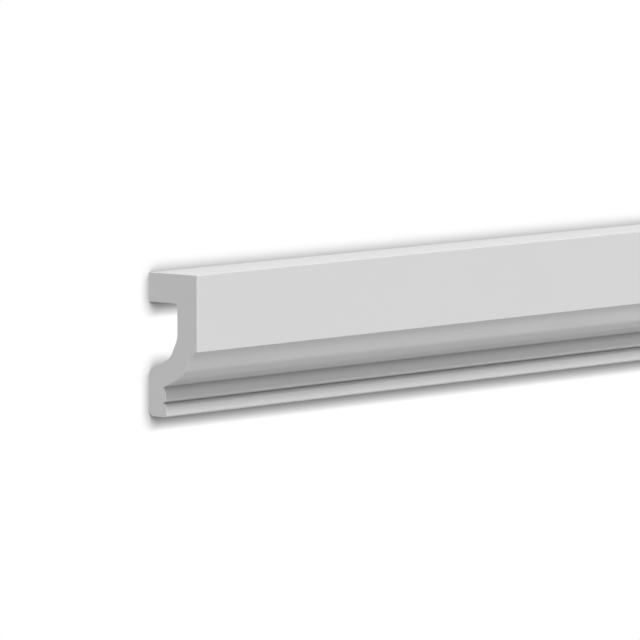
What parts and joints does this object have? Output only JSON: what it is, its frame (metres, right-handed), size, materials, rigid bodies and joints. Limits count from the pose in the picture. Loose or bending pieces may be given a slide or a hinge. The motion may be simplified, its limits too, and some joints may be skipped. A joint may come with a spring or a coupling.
{
  "type": "wall moulding",
  "caption": "Straight length of wall moulding with a tall flat fascia, a cyma, a torus band and a bead below it, and a hollow back between two lands that meet the wall.",
  "frame": {"origin": "middle of the length and of the height, on the plane of the two back lands", "axes": "+X along the stock, +Y up the wall from the bead edge to the top edge, +Z out of the wall; the part lies on its back"},
  "size_m": [2, 0.08, 0.035],
  "materials": {
    "primed_foam": "smooth matte primer coat"
  },
  "bodies": {
    "root": {"wall_moulding": "primed_foam"}
  },
  "joints": []
}
